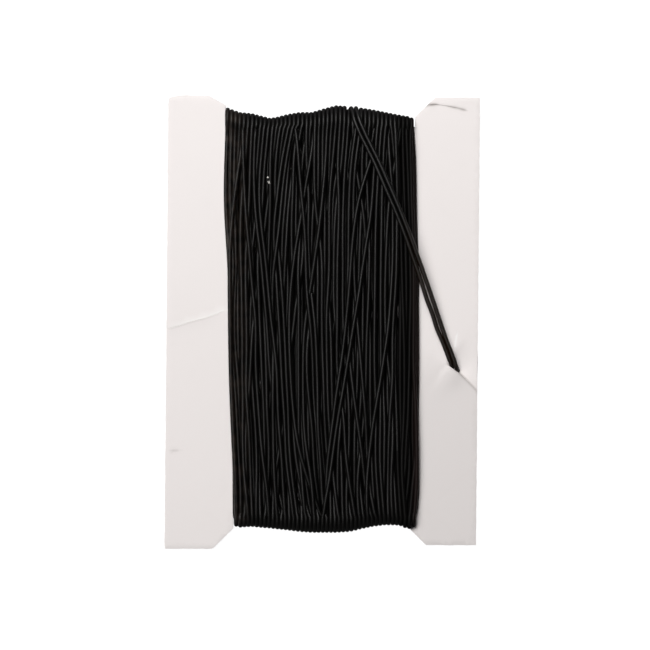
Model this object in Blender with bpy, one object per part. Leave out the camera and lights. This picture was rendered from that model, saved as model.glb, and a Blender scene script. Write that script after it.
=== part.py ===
# A card of round cord elastic: a notched board with the cord wound upright round its waist,
# and the cord's two loose strands caught in a slit at the board's right edge.
# Metres, +Z up. It lies on the flat back of its winding, X to the card's right, Y to its top edge,
# with the origin on the surface under the middle of the card.

import math

import bmesh
import bpy
from mathutils import Vector
from mathutils.geometry import intersect_line_line

MM = 0.001

# Driving dimensions
CARD_THICKNESS = 1.2 * MM
CORD_DIAMETER = 1.1 * MM
CLEARANCE = 0.3 * MM  # between pieces that touch
BACK_PILE = 3.5 * MM  # depth of the winding behind the card, flat where it rests
STRANDS_ACROSS = 43  # strands side by side in one layer
RIB_DEPTH = 0.42 * MM  # how far the valley between two strands lies below their crowns

CARD_BACK = BACK_PILE
CARD_FRONT = CARD_BACK + CARD_THICKNESS

# The notch: its floors, and its four walls from the top left round to the bottom left
TOP_FLOOR = 48.75 * MM
BOTTOM_FLOOR = -48.2 * MM
TOP_LEFT_WALL = -24.1 * MM
TOP_RIGHT_WALL = 23.26 * MM
BOTTOM_RIGHT_WALL = 22.1 * MM
BOTTOM_LEFT_WALL = -22.26 * MM

# The card's corners, anticlockwise from the bottom left, in millimetres
CORNER_COLUMNS = ("x", "y", "radius")
CARD_CORNERS = (
    (-39.46, -56.70, 0.6),
    (-27.40, -56.70, 0.8),
    (-22.26, -51.60, 0.5),
    (-22.26, -48.20, 0.2),
    (22.10, -48.20, 0.2),
    (22.10, -52.00, 0.5),
    (25.90, -55.80, 0.8),
    (38.46, -55.80, 0.6),
    (39.46, 56.10, 0.6),
    (28.20, 56.10, 0.8),
    (23.26, 51.30, 0.5),
    (23.26, 48.75, 0.2),
    (-24.10, 48.75, 0.2),
    (-24.10, 54.30, 0.5),
    (-28.20, 56.50, 2.0),
    (-35.60, 56.70, 3.0),
    (-38.46, 55.95, 0.6),
)

# Knife slits: the corner before the mouth, the middle line from the mouth inwards in
# millimetres, and the corners of the opening that the loose strands hold apart at its end
SLIT_COLUMNS = ("after_corner", "line", "opening")
SLIT_WIDTH = 0.24 * MM
SLITS = (
    (
        7,
        ((38.81, -17.30), (37.30, -15.75), (35.90, -14.30)),
        (
            (35.35, -15.10, 0.6),
            (32.50, -13.60, 0.8),
            (31.80, -12.80, 0.8),
            (30.45, -9.20, 0.8),
            (30.90, -8.00, 0.7),
            (31.95, -7.95, 0.7),
            (34.30, -9.50, 0.8),
            (34.75, -10.40, 0.8),
            (35.85, -13.40, 0.8),
        ),
    ),
    (9, ((26.30, 54.25), (28.40, 54.40), (30.60, 54.15), (33.90, 53.45), (36.70, 52.70)), ()),
    (16, ((-38.97, -1.60), (-36.60, -1.15), (-33.80, 0.10), (-29.30, 1.20), (-25.60, 2.60)), ()),
)

# The winding's ends, by distance from its middle, and the depth of its front, in millimetres
END_COLUMNS = ("across", "top", "bottom")
WINDING_ENDS = (
    (-24.2, 53.6, -50.0),
    (-22.0, 52.8, -50.2),
    (-19.8, 52.1, -51.0),
    (-16.5, 51.8, -50.8),
    (-13.0, 50.8, -51.1),
    (-9.5, 51.6, -51.6),
    (-5.5, 52.3, -52.0),
    (-2.0, 52.4, -52.2),
    (1.0, 53.2, -52.2),
    (3.4, 54.0, -52.1),
    (4.8, 53.6, -52.0),
    (6.0, 52.3, -51.9),
    (9.4, 52.2, -51.6),
    (10.8, 53.2, -51.1),
    (14.6, 52.5, -50.4),
    (18.4, 51.8, -50.2),
    (21.0, 51.4, -51.0),
    (22.6, 51.0, -51.7),
)
SIDE_COLUMNS = ("height", "left", "right")
WINDING_SIDES = (
    (49.0, -24.2, 23.3),
    (40.0, -24.6, 23.1),
    (30.0, -24.7, 23.3),
    (20.0, -24.1, 23.7),
    (14.0, -23.6, 24.1),
    (0.0, -23.6, 24.1),
    (-15.0, -23.3, 24.1),
    (-28.0, -22.8, 24.1),
    (-37.0, -22.2, 24.3),
    (-44.0, -22.3, 24.3),
    (-49.0, -22.1, 23.9),
)
PILE_COLUMNS = ("share", "front", "back")
WINDING_PILE = (
    (0.000, 1.25, 1.30),
    (0.030, 2.45, 2.60),
    (0.070, 3.15, 3.30),
    (0.110, 3.35, 3.50),
    (0.300, 3.45, 3.50),
    (0.500, 3.80, 3.50),
    (0.660, 3.95, 3.50),
    (0.800, 3.60, 3.50),
    (0.890, 3.30, 3.50),
    (0.930, 3.10, 3.30),
    (0.970, 2.40, 2.60),
    (1.000, 1.25, 1.30),
)

# Bundles of strands that lean together: where they lie across the winding and how wide, as shares
# of its width, how far their top leans one way and their bottom the other, how far their middle
# bows aside, and how far the bundle stands above its neighbours in millimetres
BUNDLE_COLUMNS = ("across", "width", "lean", "bow", "stand")
BUNDLES = (
    (0.07, 0.040, 0.010, 0.008, 0.10),
    (0.16, 0.050, -0.018, -0.012, 0.30),
    (0.27, 0.045, 0.018, 0.010, -0.10),
    (0.36, 0.050, -0.020, 0.013, 0.25),
    (0.47, 0.045, 0.016, -0.012, 0.05),
    (0.57, 0.045, -0.014, 0.010, -0.10),
    (0.67, 0.055, 0.028, -0.010, 0.35),
    (0.78, 0.045, -0.018, 0.010, 0.10),
    (0.88, 0.040, 0.013, -0.008, 0.15),
)
STRAND_UNEVENNESS = 0.09 * MM  # how far single strands stand above or below their bundle
UNEVEN_TURNS = (2.3, 0.9)  # radians a strand, of the two waves that make them uneven

# The loose strands, from the winding's top edge to their cut ends behind the card, in millimetres
ROUTE_COLUMNS = ("x", "y", "z")
LOOSE_STRAND_1 = (
    (7.0, 53.0, 2.4),
    (7.1, 53.4, 4.1),
    (7.2, 53.2, 6.0),
    (7.5, 52.1, 8.4),
    (8.0, 49.9, 9.75),
    (9.5, 46.3, 10.0),
    (11.3, 42.7, 10.0),
    (13.2, 38.8, 10.0),
    (15.7, 33.0, 9.9),
    (18.2, 27.3, 9.6),
    (20.6, 21.3, 9.1),
    (22.4, 16.3, 8.5),
    (23.5, 13.3, 8.1),
    (24.7, 9.8, 7.7),
    (26.0, 5.7, 7.2),
    (27.4, 2.0, 6.8),
    (28.5, -1.6, 6.4),
    (29.9, -5.0, 6.0),
    (30.8, -7.4, 5.7),
    (31.4, -9.0, 5.5),
    (31.8, -10.0, 5.2),
    (32.0, -10.7, 4.4),
    (32.3, -11.3, 3.3),
    (32.6, -12.1, 2.8),
    (33.1, -13.4, 2.6),
    (33.8, -15.6, 2.5),
    (34.6, -18.2, 2.0),
    (35.3, -20.8, 1.2),
    (35.7, -22.8, 0.7),
)
LOOSE_STRAND_2 = (
    (8.4, 53.0, 2.4),
    (8.5, 53.45, 4.1),
    (8.6, 53.2, 6.0),
    (8.9, 52.1, 8.4),
    (9.4, 50.2, 9.75),
    (10.8, 46.9, 10.0),
    (12.5, 43.4, 10.0),
    (14.5, 39.3, 10.0),
    (17.0, 33.6, 9.9),
    (19.5, 27.8, 9.6),
    (21.9, 21.7, 9.1),
    (23.7, 16.7, 8.5),
    (24.8, 13.7, 8.1),
    (26.0, 10.2, 7.7),
    (27.4, 6.2, 7.2),
    (28.7, 2.4, 6.8),
    (29.9, -1.1, 6.4),
    (31.2, -4.6, 6.1),
    (32.4, -7.5, 5.8),
    (33.4, -10.4, 5.5),
    (33.8, -11.4, 5.2),
    (34.1, -12.1, 4.4),
    (34.4, -12.7, 3.3),
    (34.7, -13.5, 2.8),
    (35.1, -14.8, 2.6),
    (35.7, -16.9, 2.4),
    (36.3, -19.0, 1.8),
    (36.9, -21.3, 1.1),
    (37.2, -23.2, 0.7),
)
ROUTE_STEPS = 2  # points of the tube between two points of a route

# The lattice of the winding
FRONT_ROWS = 18
BACK_ROWS = 10
END_ROWS = 5  # rows round each quarter of an end
COLUMNS = 2 * STRANDS_ACROSS
END_FREE_RISE = 0.3  # sine of the angle round an end above which it is clear of the card
WALL_GAP = 0.35 * MM
RIM_INSET = 1.5 * MM  # how far inside the notch's floors the tunnel's rim starts to turn
ARC_STEP = math.radians(22)
LONGEST_REACH = 0.45  # the most of a side that rounding a corner may take
SHARP_ANGLE = math.radians(50)


def read_column(rows, columns, name):
    place = columns.index(name)
    return [row[place] for row in rows]


def smooth_at(places, values, place):
    # Reads a smooth curve through the values at their places, held level past both ends
    if place <= places[0]:
        return values[0]
    if place >= places[-1]:
        return values[-1]
    last = len(places) - 1
    step = next(i for i in range(last) if places[i + 1] >= place)

    def slope(i):
        before = max(i - 1, 0)
        after = min(i + 1, last)
        return (values[after] - values[before]) / (places[after] - places[before])

    span = places[step + 1] - places[step]
    t = (place - places[step]) / span
    return (
        values[step] * (2 * t**3 - 3 * t**2 + 1)
        + values[step + 1] * (3 * t**2 - 2 * t**3)
        + slope(step) * span * (t**3 - 2 * t**2 + t)
        + slope(step + 1) * span * (t**3 - t**2)
    )


def table_at(rows, columns, name, place):
    places = read_column(rows, columns, columns[0])
    values = read_column(rows, columns, name)
    if places[0] > places[-1]:
        places.reverse()
        values.reverse()
    return smooth_at(places, values, place)


def smoothstep(t):
    t = min(max(t, 0.0), 1.0)
    return t * t * (3 - 2 * t)


def blend(a, b, t):
    return a + (b - a) * t


def make_material(name, colour, roughness):
    material = bpy.data.materials.new(name)
    material.use_nodes = True
    shader = material.node_tree.nodes["Principled BSDF"]
    shader.inputs["Base Color"].default_value = (*colour, 1.0)
    shader.inputs["Roughness"].default_value = roughness
    shader.inputs["Metallic"].default_value = 0.0
    return material


def rounded_corners(corners, closed):
    # Rounds each corner to its radius, and gives one list of points in metres for each
    arcs = []
    count = len(corners)
    for i, (x, y, radius) in enumerate(corners):
        here = Vector((x, y)) * MM
        if not closed and i in (0, count - 1):
            arcs.append([here])
            continue
        back = Vector(corners[i - 1][:2]) * MM - here
        ahead = Vector(corners[(i + 1) % count][:2]) * MM - here
        turn = math.pi - back.angle(ahead)
        room = LONGEST_REACH * min(back.length, ahead.length)
        reach = min(radius * MM * math.tan(turn / 2), room)
        start = here + back.normalized() * reach
        end = here + ahead.normalized() * reach
        steps = max(1, round(turn / ARC_STEP))
        arc = []
        for k in range(steps + 1):
            t = k / steps
            arc.append(start * (1 - t) ** 2 + here * 2 * t * (1 - t) + end * t**2)
        arcs.append(arc)
    return arcs


def slit_round(line, opening, edge):
    # Goes in along a slit's left side, round its opening, and out along its right side
    middle = [Vector(point) * MM for point in line]
    sides = ([], [])
    for i, point in enumerate(middle):
        along = middle[min(i + 1, len(middle) - 1)] - middle[max(i - 1, 0)]
        across = Vector((-along.y, along.x)).normalized() * SLIT_WIDTH / 2
        sides[0].append(point + across)
        sides[1].append(point - across)
    for side in sides:
        # The mouth's two points move along the slit onto the card's edge
        side[0] = intersect_line_line(*[p.to_3d() for p in (side[0], side[1], *edge)])[0].to_2d()
    round_opening = [p for arc in rounded_corners(opening, closed=False) for p in arc]
    return sides[0] + round_opening + sides[1][::-1]


def card_outline():
    outline = []
    count = len(CARD_CORNERS)
    arcs = rounded_corners(CARD_CORNERS, closed=True)
    for i, arc in enumerate(arcs):
        outline += arc
        for after_corner, line, opening in SLITS:
            if after_corner == i:
                outline += slit_round(line, opening, (arc[-1], arcs[(i + 1) % count][0]))
    return outline


def link_part(name, data, collection, material):
    part = bpy.data.objects.new(name, data)
    part.data.materials.append(material)
    collection.objects.link(part)
    return part


def build_card(collection, material):
    # A flat curve filled on both faces, extruded by half the card's thickness each way
    board = bpy.data.curves.new("card", "CURVE")
    board.dimensions = "2D"
    board.fill_mode = "BOTH"
    board.extrude = CARD_THICKNESS / 2
    outline = card_outline()
    spline = board.splines.new("POLY")
    spline.points.add(len(outline) - 1)
    for point, place in zip(spline.points, outline):
        point.co = (place.x, place.y, 0.0, 1.0)
    spline.use_cyclic_u = True
    card = link_part("card", board, collection, material)
    card.location.z = (CARD_FRONT + CARD_BACK) / 2


def lattice_rows():
    # Stations round the winding: the front down, the bottom end, the back up, the top end.
    # Each is a face, with its height on the card, or a quarter of an end, with its angle
    quarter = [math.pi / 2 * k / END_ROWS for k in range(END_ROWS + 1)]
    front = [("front", blend(TOP_FLOOR, BOTTOM_FLOOR, k / FRONT_ROWS)) for k in range(FRONT_ROWS)]
    back = [("back", blend(BOTTOM_FLOOR, TOP_FLOOR, k / BACK_ROWS)) for k in range(BACK_ROWS)]
    rows = front
    rows += [("bottom_front", angle) for angle in reversed(quarter)]
    rows += [("bottom_back", angle) for angle in quarter[:-1]]
    rows += back
    rows += [("top_back", angle) for angle in reversed(quarter)]
    rows += [("top_front", angle) for angle in quarter[:-1]]
    return rows


def strand_share(share, height, on_front):
    # Where a strand lies across the winding, as its bundle leans and bows
    up = height / TOP_FLOOR
    moved = share
    for across, width, lean, bow, _ in BUNDLES:
        weight = math.exp(-(((share - across) / width) ** 2))
        moved += weight * lean * up
        if on_front:
            moved += weight * bow * (1 - min(abs(up), 1.0) ** 2)
    return moved


def bundle_rise(share):
    # How far the bundle at this place stands above its neighbours
    return sum(
        stand * MM * math.exp(-(((share - across) / width) ** 2))
        for across, width, _, _, stand in BUNDLES
    )


def strand_rise(column):
    # Odd columns of the lattice run on the strands' crowns, even ones in the valleys between
    if column in (0, COLUMNS):
        return 0.0
    strand = column // 2
    uneven = STRAND_UNEVENNESS * math.sin(UNEVEN_TURNS[0] * strand) * math.cos(UNEVEN_TURNS[1] * strand)
    return uneven if column % 2 else uneven - RIB_DEPTH


def winding_point(column, kind, value):
    # A point of the winding's outside, from its column across and its station round
    share = column / COLUMNS
    rib = strand_rise(column)
    front_depth = table_at(WINDING_PILE, PILE_COLUMNS, "front", share) * MM
    front_depth += bundle_rise(share) + rib
    back_depth = table_at(WINDING_PILE, PILE_COLUMNS, "back", share) * MM
    if back_depth < BACK_PILE - RIB_DEPTH:
        back_depth += rib
    back_depth = min(back_depth, BACK_PILE)
    if kind in ("front", "back"):
        height = value
        left = table_at(WINDING_SIDES, SIDE_COLUMNS, "left", height / MM) * MM
        right = table_at(WINDING_SIDES, SIDE_COLUMNS, "right", height / MM) * MM
        x = blend(left, right, strand_share(share, height, kind == "front"))
        z = CARD_FRONT + front_depth if kind == "front" else CARD_BACK - back_depth
        return (x, height, z)
    end, face = kind.split("_")
    floor = TOP_FLOOR if end == "top" else BOTTOM_FLOOR
    # The winding is as wide as its faces high above the card, and fits between the notch's
    # walls beside it
    widen = smoothstep((math.sin(value) - END_FREE_RISE) / (1 - END_FREE_RISE))
    left_wall = TOP_LEFT_WALL if end == "top" else BOTTOM_LEFT_WALL
    right_wall = TOP_RIGHT_WALL if end == "top" else BOTTOM_RIGHT_WALL
    left = table_at(WINDING_SIDES, SIDE_COLUMNS, "left", floor / MM) * MM
    right = table_at(WINDING_SIDES, SIDE_COLUMNS, "right", floor / MM) * MM
    left = blend(left_wall + WALL_GAP, left, widen)
    right = blend(right_wall - WALL_GAP, right, widen)
    x = blend(left, right, strand_share(share, floor, False))
    outer_edge = table_at(WINDING_ENDS, END_COLUMNS, end, x / MM) * MM
    reach = outer_edge - floor + math.copysign(rib, floor)
    if face == "front":
        z = CARD_FRONT + front_depth * math.sin(value)
    else:
        z = CARD_BACK - back_depth * math.sin(value)
    return (x, floor + reach * math.cos(value), z)


def rim_point(kind, value, x):
    # The point of the tunnel's rim that belongs to a point of the winding's edge
    face = kind.split("_")[-1]
    z = CARD_FRONT + CLEARANCE if face == "front" else CARD_BACK - CLEARANCE
    if kind in ("front", "back"):
        up = (value - BOTTOM_FLOOR) / (TOP_FLOOR - BOTTOM_FLOOR)
        return (x, blend(BOTTOM_FLOOR + RIM_INSET, TOP_FLOOR - RIM_INSET, up), z)
    floor = TOP_FLOOR if kind.startswith("top") else BOTTOM_FLOOR
    past_floor = blend(CLEARANCE, -RIM_INSET, value / (math.pi / 2))
    return (x, floor + math.copysign(1.0, floor) * past_floor, z)


def build_winding(collection, material):
    # A ring of strands round the card: its outside, the tunnel that the card fills, two sides
    mesh = bmesh.new()
    outside = []
    tunnel = []
    for kind, value in lattice_rows():
        points = [winding_point(column, kind, value) for column in range(COLUMNS + 1)]
        rims = [rim_point(kind, value, points[side][0]) for side in (0, -1)]
        outside.append([mesh.verts.new(point) for point in points])
        tunnel.append([mesh.verts.new(point) for point in rims])
    count = len(outside)
    for i in range(count):
        here, there = outside[i], outside[(i + 1) % count]
        inner, inner_next = tunnel[i], tunnel[(i + 1) % count]
        for column in range(COLUMNS):
            mesh.faces.new((here[column], there[column], there[column + 1], here[column + 1]))
        mesh.faces.new((inner[0], inner[1], inner_next[1], inner_next[0]))
        mesh.faces.new((here[0], inner[0], inner_next[0], there[0]))
        mesh.faces.new((here[-1], there[-1], inner_next[1], inner[1]))
    bmesh.ops.recalc_face_normals(mesh, faces=mesh.faces)
    data = bpy.data.meshes.new("winding")
    mesh.to_mesh(data)
    mesh.free()
    data.shade_smooth()
    data.set_sharp_from_angle(angle=SHARP_ANGLE)
    link_part("winding", data, collection, material)


def build_loose_strand(name, route, collection, material):
    # A round tube on a smooth curve through the strand's route
    stations = list(range(len(route)))
    axes = [read_column(route, ROUTE_COLUMNS, axis) for axis in ROUTE_COLUMNS]
    cord = bpy.data.curves.new(name, "CURVE")
    cord.dimensions = "3D"
    cord.bevel_depth = CORD_DIAMETER / 2
    cord.bevel_resolution = 2
    cord.use_fill_caps = True
    spline = cord.splines.new("POLY")
    count = (len(route) - 1) * ROUTE_STEPS + 1
    spline.points.add(count - 1)
    for k, point in enumerate(spline.points):
        place = [smooth_at(stations, values, k / ROUTE_STEPS) * MM for values in axes]
        point.co = (*place, 1.0)
    link_part(name, cord, collection, material)


def main():
    for old in list(bpy.data.objects):
        bpy.data.objects.remove(old)
    collection = bpy.data.collections.new("card_of_elastic")
    bpy.context.scene.collection.children.link(collection)
    board = make_material("board", (0.80, 0.77, 0.76), 0.75)
    elastic = make_material("elastic", (0.012, 0.012, 0.012), 0.6)
    build_card(collection, board)
    build_winding(collection, elastic)
    build_loose_strand("loose_end_1", LOOSE_STRAND_1, collection, elastic)
    build_loose_strand("loose_end_2", LOOSE_STRAND_2, collection, elastic)


main()
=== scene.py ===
# Card of elastic: black round cord elastic wound upright round a notched off-white board,
# its two loose strands caught in a slit at the board's right edge.
# Metres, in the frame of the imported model. Tables of places and sizes are in millimetres.
import math

import bpy
import numpy as np
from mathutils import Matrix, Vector
from mathutils.geometry import delaunay_2d_cdt


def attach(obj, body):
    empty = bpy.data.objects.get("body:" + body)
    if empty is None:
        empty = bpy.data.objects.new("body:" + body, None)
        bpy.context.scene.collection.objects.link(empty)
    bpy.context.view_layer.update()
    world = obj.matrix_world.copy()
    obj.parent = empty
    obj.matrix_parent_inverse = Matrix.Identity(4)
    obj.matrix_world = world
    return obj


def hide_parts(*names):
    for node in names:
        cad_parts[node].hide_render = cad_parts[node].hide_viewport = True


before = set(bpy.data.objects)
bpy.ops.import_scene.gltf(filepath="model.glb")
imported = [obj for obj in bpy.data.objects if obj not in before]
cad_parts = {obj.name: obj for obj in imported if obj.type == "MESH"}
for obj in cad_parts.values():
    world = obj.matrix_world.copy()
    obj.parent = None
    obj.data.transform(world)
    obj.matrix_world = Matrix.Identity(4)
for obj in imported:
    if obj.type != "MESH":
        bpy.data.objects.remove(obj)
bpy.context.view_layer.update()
mm = 0.001
faceHeight = 4.7  # of the board's front face
scene = bpy.context.scene


# Helpers for node trees and meshes

def setSockets(tree, node, values):
    # Another node's output is linked, and any other value is set
    for name, value in values.items():
        if isinstance(value, bpy.types.NodeSocket):
            tree.links.new(value, node.inputs[name])
        else:
            node.inputs[name].default_value = value


def addNode(tree, kind, values=None, **settings):
    node = tree.nodes.new(kind)
    for name, value in settings.items():
        setattr(node, name, value)
    setSockets(tree, node, values or {})
    return node


def addMath(tree, operation, *values, clamp=False):
    values = dict(enumerate(values))
    return addNode(tree, "ShaderNodeMath", values, operation=operation, use_clamp=clamp).outputs[0]


def mapRange(tree, value, fromLow, fromHigh, toLow=0.0, toHigh=1.0):
    values = {"Value": value, "From Min": fromLow, "From Max": fromHigh, "To Min": toLow, "To Max": toHigh}
    return addNode(tree, "ShaderNodeMapRange", values).outputs["Result"]


def blended(tree, first, second, share, clamp=False):
    # The first value by its share, the second by what is left
    parts = (addMath(tree, "MULTIPLY", first, share), addMath(tree, "MULTIPLY", second, 1 - share))
    return addMath(tree, "ADD", *parts, clamp=clamp)


def mixColours(tree, factor, first, second):
    # By number, because the node has several sockets of each name
    first, second = ((*v, 1.0) if isinstance(v, tuple) else v for v in (first, second))
    return addNode(tree, "ShaderNodeMix", {0: factor, 6: first, 7: second}, data_type="RGBA").outputs[2]


def noiseAt(tree, place, scale, detail=3.0, roughness=0.55):
    values = {"Vector": place, "Scale": scale, "Detail": detail, "Roughness": roughness}
    return addNode(tree, "ShaderNodeTexNoise", values).outputs["Fac"]


def splitPlace(tree, place):
    return addNode(tree, "ShaderNodeSeparateXYZ", {"Vector": place}).outputs


def newGroup(name, inputs, outputs):
    group = bpy.data.node_groups.new(name, "ShaderNodeTree")
    for way, sockets in (("INPUT", inputs), ("OUTPUT", outputs)):
        for label, kind in sockets.items():
            group.interface.new_socket(label, in_out=way, socket_type="NodeSocket" + kind)
    return group, group.nodes.new("NodeGroupInput"), group.nodes.new("NodeGroupOutput")


def bumpFrom(tree, shader, height, strength, distance):
    node = addNode(tree, "ShaderNodeBump", {"Height": height, "Strength": strength, "Distance": distance})
    setSockets(tree, shader, {"Normal": node.outputs["Normal"]})


def seenOnly(tree, strength):
    # The strength for the camera's own rays, and none for the light thrown on other things
    path = addNode(tree, "ShaderNodeLightPath")
    return addMath(tree, "MULTIPLY", path.outputs["Is Camera Ray"], strength)


def newMaterial(name):
    material = bpy.data.materials.new(name)
    material.use_nodes = True
    return material, material.node_tree, material.node_tree.nodes["Principled BSDF"]


def meshFrom(name, points, faces, material, uvs=None):
    mesh = bpy.data.meshes.new(name)
    mesh.from_pydata([tuple(p) for p in points], [], [tuple(f) for f in faces])
    if uvs is not None:
        layer = mesh.uv_layers.new(name="cordUv")
        layer.data.foreach_set("uv", np.asarray(uvs, np.float32).ravel())
    mesh.shade_smooth()
    mesh.materials.append(material)
    mesh.update()
    item = bpy.data.objects.new(name, mesh)
    scene.collection.objects.link(item)
    return item


# Camera, light and floor

view = {
    "aimX": 0.69,  # the point under the middle of the picture
    "aimY": -0.75,
    "width": 162.5,  # of the picture, at the card's face
    "lens": 180.0,
    "sensor": 36.0,
}
# Both lamps look at the middle of the card. Their places and sizes are in metres
lamps = {
    "keyLight": {
        "place": (-0.50, 0.40, 1.10), "size": (0.90, 0.76), "power": 11.05, "colour": (1.0, 0.985, 0.975),
    },
    "frontLight": {
        "place": (-0.05, 0.28, 0.43), "size": (0.18, 0.18), "power": 1.38, "colour": (1.0, 0.985, 0.98),
    },
}
sky = {
    "colour": (0.97, 0.98, 1.0),
    "seen": 1.0,  # as the backdrop
    "soft": 0.03,  # as light
}
floorTone = {
    "size": 3.0,  # metres
    "seen": 1.0,  # its own glow, for the eye alone
    "bounce": 0.15,  # how much light it throws back
    "below": 0.2,  # millimetres under the card's back
}


def makeCamera():
    lens = bpy.data.cameras.new("camera")
    lens.lens = view["lens"]
    lens.sensor_width = view["sensor"]
    lens.clip_start = 0.01
    lens.clip_end = 10.0
    camera = bpy.data.objects.new("camera", lens)
    distance = view["width"] * view["lens"] / view["sensor"]
    camera.location = (view["aimX"] * mm, view["aimY"] * mm, (faceHeight + distance) * mm)
    scene.collection.objects.link(camera)
    scene.camera = camera


def makeLamps():
    for name, facts in lamps.items():
        lamp = bpy.data.lights.new(name, "AREA")
        lamp.shape = "RECTANGLE"
        lamp.size, lamp.size_y = facts["size"]
        lamp.energy = facts["power"]
        lamp.color = facts["colour"]
        item = bpy.data.objects.new(name, lamp)
        item.location = facts["place"]
        item.rotation_euler = (-Vector(facts["place"])).to_track_quat("-Z", "Y").to_euler()
        item.visible_camera = False
        scene.collection.objects.link(item)


def makeSky():
    studio = bpy.data.worlds.new("studio")
    studio.use_nodes = True
    tree = studio.node_tree
    strength = addMath(tree, "ADD", seenOnly(tree, sky["seen"] - sky["soft"]), sky["soft"])
    setSockets(tree, tree.nodes["Background"], {"Color": (*sky["colour"], 1.0), "Strength": strength})
    scene.world = studio
    scene.view_settings.view_transform = "Standard"


def makeFloor():
    bpy.ops.mesh.primitive_plane_add(size=floorTone["size"], location=(0, 0, -floorTone["below"] * mm))
    floor = bpy.context.object
    floor.name = "floor"
    material, tree, shader = newMaterial("paleFloor")
    setSockets(tree, shader, {
        "Base Color": (*(floorTone["bounce"],) * 3, 1.0), "Roughness": 1.0, "Specular IOR Level": 0.0,
        "Emission Color": (1.0, 1.0, 1.0, 1.0), "Emission Strength": seenOnly(tree, floorTone["seen"]),
    })
    floor.data.materials.append(material)


makeCamera()
makeLamps()
makeSky()
makeFloor()
print("camera, light and floor are in place")


# The elastic: its finish, and the tubes that all of it is made of

elastic = {
    "diameter": 1.1,
    "braidPitch": 0.9,  # along the cord, for one lozenge of the cover
    "braidRound": 6,  # lozenges round the cord
    "braidShare": 0.7,  # of the relief, the rest being the yarns'
    "relief": (0.55, 0.00005),  # strength, and depth in metres
    "yarnGrain": 900.0,
    "patchGrain": 160.0,
    "litSideGrain": 420.0,
    "dark": (0.0006, 0.0005, 0.0004),
    "light": (0.0024, 0.0021, 0.0018),
    # painted light on the left side of the winding, which faces the key lamp, laid on in specks
    "litSide": (0.060, 0.044, 0.034),
    "litSideFrom": -17.0,  # the side of the winding with painted light
    "litSideTo": -24.5,
    "litSideMost": 0.55,  # how much of the black it takes over at most
    # tints, and from where to where across they come in: of the rubbed side, and of the loose strands
    "worn": ((0.009, 0.005, 0.0045), 22.0, 23.4),
    "brown": ((0.0060, 0.0024, 0.0006), 19.0, 25.0),
    "dullFrom": 18.75,  # from where on the rubbed cover has lost its sheen
}
cordRadius = elastic["diameter"] / 2
cordWidth = elastic["diameter"] * mm  # metres


def makeBraidGroup():
    # The braided cover in the cord's own coordinates: lozenges, and uneven yarns
    group, start, end = newGroup(
        "braidedCover", {"Around": "Float", "Along": "Float"}, {"Height": "Float", "Yarn": "Float"})
    turn = addMath(group, "MULTIPLY", start.outputs["Around"], math.pi * elastic["braidRound"])
    run = addMath(group, "MULTIPLY", start.outputs["Along"], 2 * math.pi / (elastic["braidPitch"] * mm))
    left = addMath(group, "SINE", addMath(group, "ADD", turn, run))
    right = addMath(group, "SINE", addMath(group, "SUBTRACT", turn, run))
    lozenge = mapRange(group, addMath(group, "MULTIPLY", left, right), -1.0, 1.0)
    around = addMath(group, "MULTIPLY", start.outputs["Around"], math.pi * cordWidth)
    place = addNode(group, "ShaderNodeCombineXYZ", {"X": around, "Y": start.outputs["Along"]})
    yarn = noiseAt(group, place.outputs["Vector"], elastic["yarnGrain"])
    setSockets(group, end, {"Height": blended(group, lozenge, yarn, elastic["braidShare"]), "Yarn": yarn})
    return group


def makeCoverGroup():
    # Patchy black, with painted light in specks far to the left and a tint far to the right
    group, start, end = newGroup(
        "coverColour",
        {"Place": "Vector", "Yarn": "Float", "Tint": "Color", "From": "Float", "To": "Float"},
        {"Colour": "Color"},
    )
    place = start.outputs["Place"]
    patches = mapRange(group, noiseAt(group, place, elastic["patchGrain"], 4.0), 0.35, 0.7)
    shade = blended(group, start.outputs["Yarn"], patches, 0.5, clamp=True)
    black = mixColours(group, shade, elastic["dark"], elastic["light"])
    across = splitPlace(group, place)[0]
    # painted light on the left side, laid on in specks
    nearSide = mapRange(group, across, elastic["litSideFrom"] * mm, elastic["litSideTo"] * mm)
    specks = noiseAt(group, place, elastic["litSideGrain"], 5.0)
    specks = mapRange(group, specks, 0.4, 0.75, 0.0, elastic["litSideMost"])
    withLitSide = mixColours(group, addMath(group, "MULTIPLY", nearSide, specks), black, elastic["litSide"])
    past = addMath(group, "SUBTRACT", across, start.outputs["From"])
    reach = addMath(group, "SUBTRACT", start.outputs["To"], start.outputs["From"])
    farSide = addMath(group, "DIVIDE", past, reach, clamp=True)
    setSockets(group, end, {"Colour": mixColours(group, farSide, withLitSide, start.outputs["Tint"])})
    return group


braidGroup = makeBraidGroup()
coverGroup = makeCoverGroup()


def makeElastic(name, specular, rough, tint):
    material, tree, shader = newMaterial(name)
    uv = addNode(tree, "ShaderNodeUVMap", uv_map="cordUv")
    around, along, _ = splitPlace(tree, uv.outputs["UV"])
    braid = addNode(tree, "ShaderNodeGroup", {"Around": around, "Along": along}, node_tree=braidGroup)
    place = addNode(tree, "ShaderNodeTexCoord").outputs["Object"]
    colour, tintFrom, tintTo = tint
    values = {"Place": place, "Yarn": braid.outputs["Yarn"], "Tint": (*colour, 1.0), "From": tintFrom * mm,
              "To": tintTo * mm}
    cover = addNode(tree, "ShaderNodeGroup", values, node_tree=coverGroup)
    roughness = mapRange(tree, braid.outputs["Yarn"], 0.3, 0.7, *rough)
    tangent = addNode(tree, "ShaderNodeTangent", direction_type="UV_MAP", uv_map="cordUv")
    setSockets(tree, shader, {
        "Base Color": cover.outputs["Colour"], "Roughness": roughness, "Tangent": tangent.outputs["Tangent"],
        "Specular IOR Level": specular, "Anisotropic": 0.55, "Anisotropic Rotation": 0.25,
    })
    bumpFrom(tree, shader, braid.outputs["Height"], *elastic["relief"])
    return material


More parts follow.
